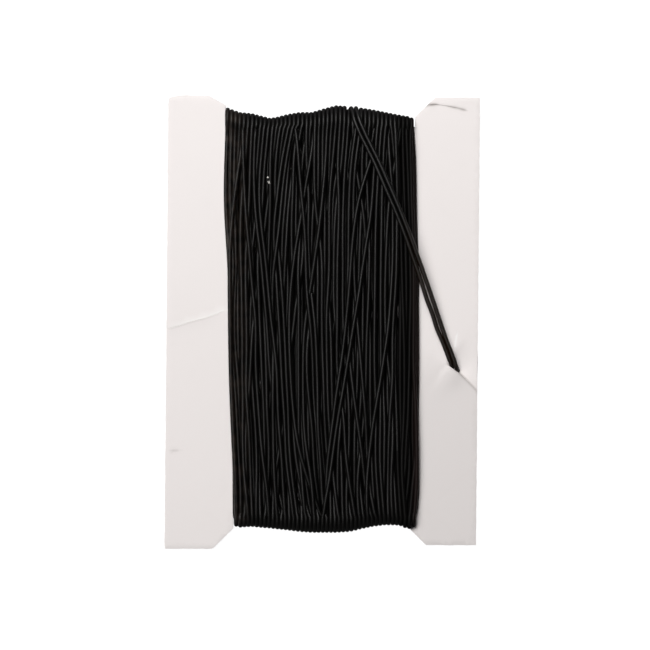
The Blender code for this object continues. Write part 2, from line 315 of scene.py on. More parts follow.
woundElastic = makeElastic("woundElastic", specular=0.30, rough=(0.42, 0.52), tint=elastic["worn"])
rubbedElastic = makeElastic("rubbedElastic", specular=0.14, rough=(0.55, 0.65), tint=elastic["worn"])
looseElastic = makeElastic("looseElastic", specular=0.42, rough=(0.42, 0.50), tint=elastic["brown"])


def tubeArrays(line, wide, diameter, sides):
    # Rings of points round a line, its faces, and the cover's coordinates on each face corner
    along = np.gradient(line, axis=0)
    along /= np.linalg.norm(along, axis=1, keepdims=True)
    across = np.array((1.0, 0.0, 0.0)) - along * along[:, :1]
    across /= np.linalg.norm(across, axis=1, keepdims=True)
    up = np.cross(along, across)
    angle = 2 * np.pi * np.arange(sides) / sides
    sideways = (wide[:, None] * np.cos(angle))[:, :, None] * across[:, None]
    outward = (np.sin(angle) / wide[:, None])[:, :, None] * up[:, None]
    rings = line[:, None] + diameter / 2 * (sideways + outward)
    run = np.concatenate([[0], np.cumsum(np.linalg.norm(np.diff(line, axis=0), axis=1))])
    count = len(line)
    i = np.arange(count - 1)[:, None] * sides
    a = np.arange(sides)[None]
    b = (a + 1) % sides
    faces = np.stack([i + a, i + b, i + sides + b, i + sides + a], axis=-1).reshape(-1, 4)
    shares = np.arange(sides) / sides
    low, high, u0 = (np.broadcast_to(v, (count - 1, sides)) for v in (run[:-1, None], run[1:, None], shares))
    u1 = u0 + 1 / sides
    corners = [np.stack(pair, -1) for pair in ((u0, low), (u1, low), (u1, high), (u0, high))]
    return rings.reshape(-1, 3), faces, np.stack(corners, axis=2).reshape(-1, 2)


def tubeMesh(name, strands, diameter, sides, material, dimmer=None):
    # Several lengths of cord, closed at both ends, in the rubbed material where they lie far to the right
    points, faces, uvs, first = [], [], [], 0
    for line, wide in strands:
        rings, walls, corners = tubeArrays(line, wide, diameter, sides)
        faces += (walls + first).tolist()
        uvs.append(corners)
        lastRing = first + (len(line) - 1) * sides
        faces += [list(range(first, first + sides))[::-1], list(range(lastRing, lastRing + sides))]
        uvs.append(np.zeros((2 * sides, 2)))
        points.append(rings)
        first += len(rings)
    item = meshFrom(name, np.concatenate(points), faces, material, np.concatenate(uvs))
    if dimmer:
        worn = [line[:-1, 0] > elastic["dullFrom"] * mm for line, _ in strands]
        kinds = np.concatenate([np.append(np.repeat(rings, sides), (False, False)) for rings in worn])
        item.data.materials.append(dimmer)
        item.data.polygons.foreach_set("material_index", kinds.astype(np.int32))
    return item


def curveBetween(t, start, stop, leave, arrive):
    # From one place to another, leaving and arriving at the given slopes
    return ((2 * t**3 - 3 * t**2 + 1) * start + (t**3 - 2 * t**2 + t) * leave
            + (3 * t**2 - 2 * t**3) * stop + (t**3 - t**2) * arrive)


def lookUp(table, at, column=1):
    table = np.array(table)
    return np.interp(at, table[:, 0], table[:, column])


def bell(far):
    return np.exp(-far**2)


def smoothThrough(places, values, at):
    # A smooth curve through the values at their rising places
    places, values, at = (np.asarray(v, float) for v in (places, values, at))
    slope = np.gradient(values, places, axis=0)
    i = np.clip(np.searchsorted(places, at) - 1, 0, len(places) - 2)
    span = places[i + 1] - places[i]
    t = (at - places[i]) / span
    if values.ndim > 1:
        t, span = t[:, None], span[:, None]
    return curveBetween(t, values[i], values[i + 1], span * slope[i], span * slope[i + 1])


# The loose strands, on the routes of their solids

looseEnds = {
    "length": 0.089,
    "stepsBetween": 6,
    "sides": 16,
    # by point of the route: how far each is drawn to the other, and down
    "closer": ((0, 0.0), (2, 0.13), (9, 0.13), (12, 0.08), (14, 0.06), (16, 0.10), (18, 0.24), (20, 0.42),
               (22, 0.42), (28, 0.0)),
    "lower": ((3, 0.0), (5, 0.12), (9, 0.18), (12, 0.20), (17, 0.10), (19, 0.05), (20, 0.0)),
}
looseRoute1 = (
    (7.0, 53.0, 2.4), (7.1, 53.4, 4.1), (7.2, 53.2, 6.0), (7.5, 52.1, 8.4), (8.0, 49.9, 9.75),
    (9.5, 46.3, 10.0), (11.3, 42.7, 10.0), (13.2, 38.8, 10.0), (15.7, 33.0, 9.9), (18.2, 27.3, 9.6),
    (20.6, 21.3, 9.1), (22.4, 16.3, 8.5), (23.5, 13.3, 8.1), (24.7, 9.8, 7.7), (26.0, 5.7, 7.2),
    (27.4, 2.0, 6.8), (28.5, -1.6, 6.4), (29.9, -5.0, 6.0), (30.8, -7.4, 5.7), (31.4, -9.0, 5.5),
    (31.8, -10.0, 5.2), (32.0, -10.7, 4.4), (32.3, -11.3, 3.3), (32.6, -12.1, 2.8), (33.1, -13.4, 2.6),
    (33.8, -15.6, 2.5), (34.6, -18.2, 2.0), (35.3, -20.8, 1.2), (35.7, -22.8, 0.7),
)
looseRoute2 = (
    (8.4, 53.0, 2.4), (8.5, 53.45, 4.1), (8.6, 53.2, 6.0), (8.9, 52.1, 8.4), (9.4, 50.2, 9.75),
    (10.8, 46.9, 10.0), (12.5, 43.4, 10.0), (14.5, 39.3, 10.0), (17.0, 33.6, 9.9), (19.5, 27.8, 9.6),
    (21.9, 21.7, 9.1), (23.7, 16.7, 8.5), (24.8, 13.7, 8.1), (26.0, 10.2, 7.7), (27.4, 6.2, 7.2),
    (28.7, 2.4, 6.8), (29.9, -1.1, 6.4), (31.2, -4.6, 6.1), (32.4, -7.5, 5.8), (33.4, -10.4, 5.5),
    (33.8, -11.4, 5.2), (34.1, -12.1, 4.4), (34.4, -12.7, 3.3), (34.7, -13.5, 2.8), (35.1, -14.8, 2.6),
    (35.7, -16.9, 2.4), (36.3, -19.0, 1.8), (36.9, -21.3, 1.1), (37.2, -23.2, 0.7),
)


def looseLine(route, other):
    stations = np.arange(len(route))
    closer = lookUp(looseEnds["closer"], stations)
    towards = np.array(other) - np.array(route)
    towards /= np.linalg.norm(towards, axis=1, keepdims=True)
    points = np.array(route) + closer[:, None] * towards
    points[:, 2] -= lookUp(looseEnds["lower"], stations)
    fine = np.linspace(0, len(route) - 1, (len(route) - 1) * looseEnds["stepsBetween"] + 1)
    return smoothThrough(stations, points * mm, fine)


looseLines = [looseLine(looseRoute1, looseRoute2), looseLine(looseRoute2, looseRoute1)]
for number, line in enumerate(looseLines, 1):
    strand = tubeMesh(f"looseStrand{number}", [(line, np.ones(len(line)))], cordWidth, looseEnds["sides"],
                      looseElastic)
    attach(strand, "root")
    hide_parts(f"loose_end_{number}")
print("the loose strands lie on their routes")


# The card

card = {
    "half": (39.5, 56.7),  # of its width and height
    "thickness": 1.2,
    "grid": 1.5,
    "fineGrid": 0.7,
    "finePlace": (33.5, -12.5),  # round the slit that pinches the loose strands
    "fineReach": 9.0,
    "edgeStep": 1.2,
    "edgeRagged": 0.03,
    "seed": 3,
    "evenNear": 2.0,  # how near a slit the edge isn't ragged
    "slitWidth": 0.03,
    # rows of points along each slit and each mark: how far apart the points are, and how far aside
    "besideSlits": (0.6, (-0.25, 0.25, -0.55, 0.55)),
    "besideMarks": (0.5, (-0.45, -0.22, 0.0, 0.22, 0.45)),
    "gaps": (0.12, 0.42, 0.35),  # at least, from row to ring, grid to ring and grid to row
    "warp": (0.10, 0.055, 0.04),  # height, and how fast it waves across and up
    "cutReach": 0.32,
    "wornEdge": 0.06,
    "paper": (0.842, 0.805, 0.795),
    "core": (0.70, 0.66, 0.64),
    # painted shadow along the slits, and the scuff's own grey
    "slitShadowAndScuffColour": (0.20, 0.17, 0.15),
    # painted highlight on the left slit's lip, and the nick's own pale
    "paleTone": (0.95, 0.94, 0.93),
    "shadeTone": 0.905,  # of the lower right tab: painted shade
    "cloudGrain": 45.0,
    "speckGrain": 2600.0,
    "fibreGrain": 900.0,
}
# The corners, anticlockwise from the bottom left: x, y, radius
cardCorners = (
    (-39.46, -56.70, 0.3), (-27.40, -56.70, 0.8), (-22.26, -51.60, 0.5), (-22.26, -48.20, 0.2),
    (22.10, -48.20, 0.2), (22.10, -52.00, 0.5), (25.90, -55.80, 0.8), (38.46, -55.80, 0.3),
    (39.46, 56.10, 0.3), (28.20, 56.10, 0.8), (23.26, 51.30, 0.5), (23.26, 48.75, 0.2),
    (-24.10, 48.75, 0.2), (-24.10, 54.30, 0.5), (-28.20, 56.50, 2.0), (-35.60, 56.70, 3.0),
    (-38.46, 55.95, 0.6),
)
# Knife slits. corner: the outline's corner before the mouth. line: from the mouth inwards. left and right:
# how the two sides stand, going in. peak, spread: where along the line. reach: how far across.
# closing: over what length they meet at the inner end. tone: how dark the painted shadow in the cut is along
# the line
cardSlits = {
    "pinch": {
        "corner": 7,
        "line": ((38.75, -17.30), (37.3, -15.75), (35.9, -14.30), (34.2, -12.75), (33.0, -11.9),
                 (31.9, -11.1), (31.0, -10.5)),
        "left": 0.60, "right": -1.00, "peak": 7.6, "spread": 3.0, "reach": 4.5, "rest": 0.10, "closing": 0.9,
        "tone": ((0.0, 0.35), (5.5, 0.45), (8.5, 0.3), (9.8, 0.0)),
    },
    "rightTab": {
        "corner": 9,
        "line": ((26.3, 54.25), (28.4, 54.40), (30.6, 54.15), (33.9, 53.45), (36.7, 52.70)),
        "left": 0.14, "right": -0.05, "peak": 5.0, "spread": 7.0, "reach": 1.6, "rest": 0.05, "closing": 4.5,
        "tone": ((0.0, 0.5), (1.4, 0.8), (2.3, 0.45), (3.0, 0.1), (4.4, 0.12), (5.6, 0.3), (7.0, 0.5),
                 (8.0, 0.35), (9.1, 0.6), (10.1, 0.0)),
    },
    "left": {
        "corner": 16,
        "line": ((-38.97, -1.75), (-36.6, -1.15), (-33.5, -0.15), (-29.6, 0.90), (-26.3, 2.00),
                 (-24.1, 2.95)),
        "left": -0.05, "right": 0.13, "peak": 8.0, "spread": 9.0, "reach": 1.4, "rest": 0.03, "closing": 4.0,
        "tone": ((0.0, 0.10), (2.0, 0.20), (7.0, 0.18), (13.0, 0.14), (15.3, 0.0)),
    },
}
# A painted highlight on the lip beside the left slit, which stands up into the light, a short nick that
# shows pale, and a short scuff that shows grey
cardLipHighlight = {"tone": ((0, 0.4), (3, 0.85), (9, 0.95), (15, 1.0)), "aside": 0.30, "reach": 0.24}
cardNick = {"line": ((33.6, -3.5), (33.2, -6.2)), "tone": 0.9, "reach": 0.22}
cardScuff = {
    "line": ((-37.3, -32.15), (-36.3, -32.10), (-35.3, -31.95)),
    "tone": ((0.0, 0.24), (0.9, 0.22), (1.3, 0.10), (2.0, 0.0)),
}


def roundedOutline(corners):
    arcs = []
    for i, (x, y, radius) in enumerate(corners):
        here = Vector((x, y))
        back = Vector(corners[i - 1][:2]) - here
        ahead = Vector(corners[(i + 1) % len(corners)][:2]) - here
        turn = math.pi - back.angle(ahead)
        reach = min(radius * math.tan(turn / 2), 0.45 * min(back.length, ahead.length))
        start, end = here + back.normalized() * reach, here + ahead.normalized() * reach
        steps = max(2, round(turn / math.radians(15)))
        arcs.append([start * (1 - t) ** 2 + here * 2 * t * (1 - t) + end * t**2
                     for t in (k / steps for k in range(steps + 1))])
    return arcs


def besideLine(line, aside):
    # The line's points moved to its left
    middle = [Vector(p) for p in line]
    moved = []
    for i, point in enumerate(middle):
        along = middle[min(i + 1, len(middle) - 1)] - middle[max(i - 1, 0)]
        moved.append(point + Vector((-along.y, along.x)).normalized() * aside)
    return moved


def subdivide(points, step, closed=True):
    out = []
    for point, after in zip(points, points[1:] + (points[:1] if closed else [])):
        count = max(1, round((after - point).length / step))
        out += [point.lerp(after, k / count) for k in range(count)]
    return out


def nearestOnSlit(x, y, line):
    # How far along a slit each point is, how far to its left, and the slit's length
    line = np.array(line)
    best = np.full(len(x), 1e9)
    along, side = np.zeros(len(x)), np.zeros(len(x))
    run = 0.0
    for a, b in zip(line[:-1], line[1:]):
        d = b - a
        length = np.hypot(*d)
        t = np.clip(((x - a[0]) * d[0] + (y - a[1]) * d[1]) / length**2, 0, 1)
        dx, dy = x - a[0] - t * d[0], y - a[1] - t * d[1]
        far = np.hypot(dx, dy)
        near = far < best
        best = np.where(near, far, best)
        along = np.where(near, run + t * length, along)
        side = np.where(near, np.sign(d[0] * dy - d[1] * dx) * far, side)
        run += length
    return along, side, run


def cardHeight(x, y):
    # How far the face stands above or below its plane
    warp, waveAcross, waveUp = card["warp"]
    z = warp * np.sin(x * waveAcross + 0.7) * np.cos(y * waveUp + 0.3)
    for slit in cardSlits.values():
        along, side, length = nearestOnSlit(x, y, slit["line"])
        peak = bell((along - slit["peak"]) / slit["spread"])
        peak = peak + slit["rest"] * (1 - peak)
        inner = np.clip((length - along) / slit["closing"], 0, 1)
        fall = np.exp(-(np.abs(side) / slit["reach"]) ** 1.6)
        z = z + np.where(side > 0, slit["left"], slit["right"]) * peak * inner * fall
    return z


# Painted shadow along the slits, where the lips stand apart, and the grey of the scuff
def slitShadowAndScuff(x, y):
    dark = np.zeros(len(x))
    for slit in (*cardSlits.values(), cardScuff):
        along, side, _ = nearestOnSlit(x, y, slit["line"])
        tone = lookUp(slit["tone"], along)
        dark = np.maximum(dark, tone * bell(side / card["cutReach"]))
    return dark


# A painted highlight on the left slit's raised lip, and the nick's own pale
def lipHighlightAndNick(x, y):
    along, side, _ = nearestOnSlit(x, y, cardSlits["left"]["line"])
    lip = bell((side - cardLipHighlight["aside"]) / cardLipHighlight["reach"])
    _, side, _ = nearestOnSlit(x, y, cardNick["line"])
    nick = bell(side / cardNick["reach"])
    return np.maximum(lookUp(cardLipHighlight["tone"], along) * lip, cardNick["tone"] * nick)


def paintedShadeTab(x, y):
    # Painted shade on the lower right tab: sharply below the pinching slit, gradually beside its inner end
    edge = lookUp(cardSlits["pinch"]["line"][::-1], x)
    blur = np.interp(x, (23.0, 30.5), (16.0, 0.1))
    return np.where(x > 15, np.clip((edge - y) / blur + 0.5, 0, 1), 0.0)


def insideOutline(points, ring):
    x, y = points.T
    inside = np.zeros(len(points), bool)
    for (x0, y0), (x1, y1) in zip(ring, np.roll(ring, -1, axis=0)):
        if y1 != y0:
            inside ^= ((y0 > y) != (y1 > y)) & (x < x0 + (y - y0) * (x1 - x0) / (y1 - y0))
    return inside


def cardPoints():
    # The ring of the outline with its slits, and the points within it
    rng = np.random.default_rng(card["seed"])
    outline = []
    half = card["slitWidth"] / 2
    for i, arc in enumerate(roundedOutline(cardCorners)):
        outline += arc
        for slit in cardSlits.values():
            if slit["corner"] == i:
                line = slit["line"]
                outline += besideLine(line, half)[:-1] + [Vector(line[-1])] + besideLine(line, -half)[-2::-1]
    lines = [[Vector(p) for p in slit["line"]] for slit in cardSlits.values()]
    slitPoints = [p for line in lines for p in subdivide(line, 1.0, False)]
    ring = []
    for p in subdivide(outline, card["edgeStep"]):
        nearSlit = min((p - s).length for s in slitPoints) < card["evenNear"]
        loose = 0.0 if nearSlit else card["edgeRagged"]
        ring.append((p.x + loose * rng.normal(), p.y + loose * rng.normal()))
    ring = np.array(ring)
    beside = []
    for marks, (step, asides), skip in (
        (cardSlits.values(), card["besideSlits"], 1), ((cardNick, cardScuff), card["besideMarks"], 0),
    ):
        for mark in marks:
            for aside in asides:
                beside += [p[:] for p in subdivide(besideLine(mark["line"], aside), step, False)[skip:]]
    grid = []
    halfWide, halfHigh = card["half"]
    for step, fine in ((card["grid"], False), (card["fineGrid"], True)):
        for row, y in enumerate(np.arange(-halfHigh, halfHigh, step * 0.866)):
            for x in np.arange(-halfWide, halfWide, step) + (step / 2 if row % 2 else 0):
                if (math.dist((x, y), card["finePlace"]) < card["fineReach"]) == fine:
                    grid.append((x, y))

    def clearOf(points, others, gap):
        points = np.array(points)
        return points[np.linalg.norm(points[:, None] - others, axis=2).min(axis=1) > gap]

    rowToRing, gridToRing, gridToRow = card["gaps"]
    beside = clearOf(beside, ring, rowToRing)
    grid = clearOf(clearOf(grid, ring, gridToRing), beside, gridToRow)
    inner = np.concatenate([beside, grid])
    return ring, inner[insideOutline(inner, ring)]


def makeCard(face, cut):
    ring, inner = cardPoints()
    verts = [Vector(p) for p in np.concatenate([ring, inner])]
    edges = [(i, (i + 1) % len(ring)) for i in range(len(ring))]
    points, _, faces, *_ = delaunay_2d_cdt(verts, edges, [], 1, 1e-5)
    x, y = np.array([(p.x, p.y) for p in points]).T
    places = np.column_stack([x, y, faceHeight + cardHeight(x, y)]) * mm
    faces = [(a, b, c) if (points[b] - points[a]).cross(points[c] - points[a]) > 0 else (c, b, a)
             for a, b, c in faces]
    item = meshFrom("cardBoard", places, faces, face)
    item.data.materials.append(cut)
    for name, amount in (("slitShadowAndScuffMask", slitShadowAndScuff), ("dimmer", paintedShadeTab), ("pale", lipHighlightAndNick)):
        layer = item.data.attributes.new(name, "FLOAT", "POINT")
        layer.data.foreach_set("value", amount(x, y).astype(np.float32))
    thick = item.modifiers.new("thickness", "SOLIDIFY")
    thick.thickness = card["thickness"] * mm
    thick.offset = -1.0
    thick.material_offset_rim = 1
    worn = item.modifiers.new("wornEdge", "BEVEL")
    worn.width = card["wornEdge"] * mm
    worn.segments = 2
    worn.limit_method = "ANGLE"
    worn.angle_limit = math.radians(55)
    worn.material = 0
    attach(item, "root")
    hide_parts("card")


def makeBoardGroup():
    # Pressed paper: clouds, fine specks and fibres, with painted shade on the lower right tab, a painted
    # highlight on the left slit's lip, painted shadow along the slits, and the nick and scuff
    group, start, end = newGroup(
        "pressedPaper", {"Place": "Vector", "Base": "Color"}, {"Colour": "Color", "Height": "Float"})
    place = start.outputs["Place"]

    def toned(share):
        values = {"Vector": start.outputs["Base"], "Scale": share}
        return addNode(group, "ShaderNodeVectorMath", values, operation="SCALE").outputs["Vector"]

    def mark(name):
        return addNode(group, "ShaderNodeAttribute", attribute_name=name).outputs["Fac"]

    cloud = mapRange(group, noiseAt(group, place, card["cloudGrain"], 4.0), 0.3, 0.7)
    specks = noiseAt(group, place, card["speckGrain"], 6.0, 0.7)
    colour = mixColours(group, cloud, toned(0.985), start.outputs["Base"])
    colour = mixColours(group, mapRange(group, specks, 0.25, 0.75, 0.0, 0.5), colour, toned(1.02))
    # painted shade on the lower right tab
    colour = mixColours(group, mark("dimmer"), colour, toned(card["shadeTone"]))
    # a painted highlight on the left slit's lip, and the pale nick
    colour = mixColours(group, mark("pale"), colour, card["paleTone"])
    # painted shadow along the slits, and the scuff
    colour = mixColours(group, mark("slitShadowAndScuffMask"), colour, card["slitShadowAndScuffColour"])
    stretched = addNode(group, "ShaderNodeMapping", {"Vector": place, "Scale": (3.0, 0.6, 1.0)})
    fibres = noiseAt(group, stretched.outputs["Vector"], card["fibreGrain"], 5.0, 0.65)
    setSockets(group, end, {"Colour": colour, "Height": blended(group, fibres, specks, 0.6)})
    return group


boardGroup = makeBoardGroup()


def makeBoard(name, colour, relief):
    material, tree, shader = newMaterial(name)
    place = addNode(tree, "ShaderNodeTexCoord").outputs["Object"]
    paper = addNode(tree, "ShaderNodeGroup", {"Place": place, "Base": (*colour, 1.0)}, node_tree=boardGroup)
    colour = paper.outputs["Colour"]
    setSockets(tree, shader, {"Base Color": colour, "Roughness": 0.78, "Specular IOR Level": 0.25})
    bumpFrom(tree, shader, paper.outputs["Height"], 0.35, relief)
    return material


makeCard(makeBoard("boardFace", card["paper"], 0.00003), makeBoard("boardCut", card["core"], 0.00006))
print("the card is cut")


# The winding

winding = {
    "sides": 10,
    "underTurns": 74,  # there and back again, in two layers
    "underStray": (0.9, 1.1, 0.5),  # at the top, at the bottom and between
    "backBow": 0.5,
    "topFloor": 48.75,  # the floors of the card's notches
    "bottomFloor": -48.2,
    "cardBack": 3.5,
    "frontStations": 44,
    "backStations": 30,
    "endStations": 11,
    "endPitch": 0.93,  # between the layers over an end, of the diameter
    "endBlend": 16.0,  # how far from an end the turns close up to their places there
    # over the top and the bottom: the outermost turns, and how near two may be, of the diameter
    "endSpans": ((-23.65, 22.3, 0.57), (-21.5, 22.8, 0.50)),
    "endFlatten": 0.06,  # how much wider the cord lies round an end
    "endSquare": 2.7,  # the power of its curve, 2 being a circle
    "endEven": 0.97,  # how far a full layer is evened out
    "endFull": 20,  # the turns of a full layer, at least
    "laidOver": 0.9,  # how far a turn stands up on the one below, of a hard cord's height
    "rounds": 160,  # of settling
    "calmFrom": 0.7,  # of the rounds, where the last ones begin
    "pairsEvery": 6,
    "pairReach": 1.5,  # of the diameter
    "drawnIn": (0.05, 0.015),  # in each round, at first and in the last ones
    "evened": (0.45, 0.35),  # in each round, in depth and across
    "keptPlace": 0.04,
    "passes": (3, 14),  # of pushing apart, in each round and at the end
    "softening": 5,  # how often the settled turns are evened out
    "levelReach": (0.9, 1.4, 2.2),  # to a turn, and of the levelling across and along
    "levelMost": (-1.5, 2.0),
    "leastDepth": 0.9,  # of the cord's radius
    "looseOver": (6.0, -10.0),  # the loose strands lie over it above this height and y
    "joinSteps": 12,
    "seed": 7,
}
# The winding's ends: across, top, bottom
windingEnds = (
    (-24.2, 53.9, -51.0), (-22.1, 53.1, -51.1), (-20.6, 52.6, -51.5), (-17.6, 52.3, -51.3),
    (-14.6, 51.5, -51.6), (-13.1, 51.1, -51.7), (-11.6, 51.3, -51.9), (-8.6, 52.1, -52.2),
    (-5.6, 52.6, -52.6), (-2.6, 52.6, -52.8), (0.4, 53.5, -52.8), (3.4, 54.3, -52.8),
    (6.5, 54.1, -52.6), (6.7, 52.7, -52.6), (8.9, 52.7, -52.1), (9.1, 53.8, -52.0),
    (12.4, 53.3, -51.3), (15.4, 52.7, -50.9), (18.4, 52.1, -50.9), (20.0, 51.8, -51.2),
    (21.4, 51.6, -52.0), (22.9, 51.0, -51.4),
)
# Its sides: height, left, right
windingSides = (
    (-49.0, -22.3, 24.3), (-47.0, -22.4, 24.4), (-44.0, -22.5, 24.4), (-37.0, -22.3, 24.2),
    (-28.0, -22.8, 24.1), (-15.0, -23.3, 24.2), (0.0, -23.5, 24.2), (14.0, -23.6, 24.2),
    (20.0, -24.1, 23.9), (30.0, -24.7, 23.6), (40.0, -24.5, 23.5), (49.0, -24.1, 22.9),
)
# The depth of its front by share of its width
windingPile = (
    (0.00, 1.5), (0.03, 2.5), (0.07, 3.2), (0.11, 3.5), (0.30, 3.7), (0.50, 4.0), (0.66, 4.3), (0.80, 4.0),
    (0.88, 3.6), (0.93, 3.1), (0.96, 2.6), (0.98, 2.1), (1.00, 1.6),
)
# The strands that show, in the order of laying: how far across they lie at six heights. The last two run on
# into the loose strands
strandHeights = (50.0, 30.0, 10.0, -10.0, -30.0, -50.0)
topStrands = np.array((
    (-23.8, -24.1, -23.3, -23.1, -22.3, -21.6), (-20.3, -21.6, -21.8, -20.8, -20.1, -18.3),
    (-21.3, -22.6, -22.6, -21.6, -20.3, -19.1), (-22.3, -22.8, -23.1, -22.8, -21.3, -19.6),
    (-15.3, -16.6, -18.3, -18.8, -17.6, -17.8), (-12.1, -13.3, -16.8, -18.1, -19.1, -19.8),
    (-13.8, -14.8, -16.3, -14.8, -14.3, -15.1), (-12.8, -13.1, -13.6, -14.1, -13.6, -15.1),
    (-16.6, -16.8, -14.6, -12.6, -10.8, -9.8), (-5.6, -8.3, -9.8, -10.1, -9.6, -8.8),
    (-6.8, -9.3, -10.8, -11.3, -10.6, -9.6), (-2.8, -4.3, -5.6, -8.6, -10.6, -12.3),
    (-6.1, -7.6, -7.6, -8.3, -7.3, -3.1), (-0.8, -1.1, -1.1, -1.6, -0.3, 1.2),
    (0.2, -0.6, -1.8, -3.8, -2.6, -0.3), (5.7, 5.2, 4.7, 5.7, 6.4, 4.2),
    (4.7, 3.4, 2.7, 4.4, 4.2, 3.2), (3.7, 4.2, 3.9, 3.9, 5.2, 7.2),
    (6.4, 9.7, 11.7, 12.4, 12.7, 13.7), (10.9, 11.2, 11.7, 11.2, 9.4, 7.4),
    (7.4, 6.9, 6.2, 6.9, 9.2, 10.9), (8.4, 7.7, 7.9, 9.7, 10.9, 12.2),
    (15.2, 15.4, 15.9, 15.7, 15.4, 15.2), (19.4, 19.2, 18.4, 17.7, 18.7, 18.4),
    (21.2, 22.2, 23.2, 23.7, 23.2, 22.2), (22.4, 22.7, 23.2, 23.4, 23.7, 23.2),
    (19.7, 21.4, 22.2, 22.2, 21.2, 20.2), (-18.3, -20.3, -20.3, -20.3, -20.1, -18.6),
    (-17.6, -18.1, -19.6, -19.1, -18.6, -17.3), (-11.3, -11.8, -10.3, -9.3, -8.6, -6.8),
    (-9.3, -11.6, -11.3, -10.3, -9.3, -8.1), (-8.3, -10.1, -11.8, -12.3, -11.8, -11.1),
    (-14.6, -15.8, -13.6, -11.8, -10.8, -9.8), (-4.1, -5.1, -5.8, -6.1, -5.6, -4.1),
    (-3.8, -3.8, -2.6, -1.3, -0.6, 0.7), (-1.8, -1.3, -0.1, 0.2, 0.9, 1.9),
    (-2.8, -4.3, -7.8, -8.3, -6.3, -1.6), (1.2, -0.1, -2.6, -5.1, -3.6, -1.6),
    (2.7, 1.4, 1.4, 1.2, 1.9, 3.4), (13.7, 13.4, 13.2, 12.9, 13.4, 12.7),
    (14.9, 14.7, 14.4, 14.4, 14.4, 13.7), (16.7, 18.4, 20.2, 20.4, 20.2, 19.9),
    (17.9, 16.7, 15.4, 16.2, 17.4, 16.7), (18.2, 18.7, 18.2, 17.2, 16.4, 14.7),
    (-19.3, -22.3, -23.3, -23.6, -22.6, -22.1), (-20.6, -19.3, -17.6, -16.8, -15.1, -13.1),
    (-6.8, -4.8, -3.6, -2.3, -1.3, -0.3), (14.4, 8.7, 6.9, 4.9, 1.9, -0.8),
    (12.9, 12.4, 9.4, 6.2, 3.2, -0.6), (16.7, 17.4, 17.4, 15.2, 12.2, 8.9),
))
front, bottomEnd, back, topEnd = range(4)  # the kinds of station round the card


def windingStations():
    # Stations round the card: the kind of place, its y and z on the board, and the way out from it
    half = (faceHeight - winding["cardBack"]) / 2
    middle = winding["cardBack"] + half
    top, bottom = winding["topFloor"] - half, winding["bottomFloor"] + half
    angles = np.pi / 2 - np.pi * np.arange(1, winding["endStations"] + 1) / (winding["endStations"] + 1)
    rows = []
    for flat, bend, z, start, stop, count, out, turn in (
        (front, bottomEnd, faceHeight, top, bottom, winding["frontStations"], 1.0, angles),
        (back, topEnd, winding["cardBack"], bottom, top, winding["backStations"], -1.0, angles[::-1]),
    ):
        rows += [(flat, y, z, 0.0, out) for y in np.linspace(start, stop, count)]
        for up, over in np.column_stack([-out * np.cos(turn), np.sin(turn)]):
            rows.append((bend, stop + half * up, middle + half * over, up, over))
    return np.array(rows)


def sideLimits(y):
    return lookUp(windingSides, y) + cordRadius, lookUp(windingSides, y, 2) - cordRadius


def spreadAlong(column, floor):
    # Where the under turns lie at an end, closer where that end is deeper
    across = np.linspace(-24, 24, 400)
    depth = np.abs(lookUp(windingEnds, across, column) - floor)
    share = np.cumsum(depth) / depth.sum()
    return lambda q: np.interp(q, share, across)


def layTurns(rows):
    # Every turn's place across at each station, when it is laid, and which two end a length of cord
    rng = np.random.default_rng(winding["seed"])
    kind, y = rows[:, 0].astype(int), rows[:, 1]
    topAt, bottomAt = spreadAlong(1, winding["topFloor"]), spreadAlong(2, winding["bottomFloor"])
    count = winding["underTurns"]
    there = (np.arange(count // 2) + 0.5) / (count // 2)
    q = np.concatenate([there, there[::-1], [0.7]])
    strayTop, strayBottom, stray = winding["underStray"]
    tops = topAt(q) + rng.normal(0, strayTop, len(q))
    under = np.linspace(tops, bottomAt(q) + rng.normal(0, strayBottom, len(q)), 6, axis=1)
    for across in under:
        across[1:5] += rng.normal(0, stray, 4)
    lastTwo = [len(topStrands) - 2, len(topStrands) - 1]
    order = [i for i in np.argsort(topStrands[:, 0]) if i not in lastTwo] + lastTwo
    # one length of cord: the under turns, and the strands that show, up to the first loose strand;
    # the other: one hidden turn, and the strand that runs into the second
    fronts = np.concatenate([under[:-1], topStrands[order[:-1]], under[-1:], topStrands[-1:]])
    laid = np.array([*range(1, count + 1), *(count + 1 + i for i in order[:-1]), 0, count + 1 + order[-1]])
    ending = (len(fronts) - 3, len(fronts) - 1)
    nextTop = np.append(fronts[1:, 0], 0.0)
    for turn, route in zip(ending, (looseRoute1, looseRoute2)):
        nextTop[turn] = route[0][0]
    across = np.zeros((len(fronts), len(rows)))
    t = np.linspace(0, 1, (kind == back).sum())
    for k, strand in enumerate(fronts):
        across[k, kind == front] = smoothThrough(strandHeights[::-1], strand[::-1], y[kind == front])
        low = across[k, kind == front][-1]
        bow = rng.normal(0, winding["backBow"], 2)
        across[k, kind == back] = (low + (nextTop[k] - low) * t
                                   + bow[0] * np.sin(np.pi * t) + bow[1] * np.sin(2 * np.pi * t))
        across[k, kind == bottomEnd] = low
        across[k, kind == topEnd] = nextTop[k]
    return across, laid, ending


def wantedDepth(rows, x):
    # The depth of the winding at each station, for places across
    kind = rows[:, 0].astype(int)
    left, right = sideLimits(rows[:, 1])
    share = (x - left + cordRadius) / (right - left + 2 * cordRadius)
    face = lookUp(windingPile, share)
    face = np.where(rows[:, 4] < 0, np.minimum(face, winding["cardBack"]), face)
    top = lookUp(windingEnds, x) - winding["topFloor"]
    bottom = winding["bottomFloor"] - lookUp(windingEnds, x, 2)
    end = np.where(kind == topEnd, top, bottom)
    return face + (end - face) * np.abs(rows[:, 3])


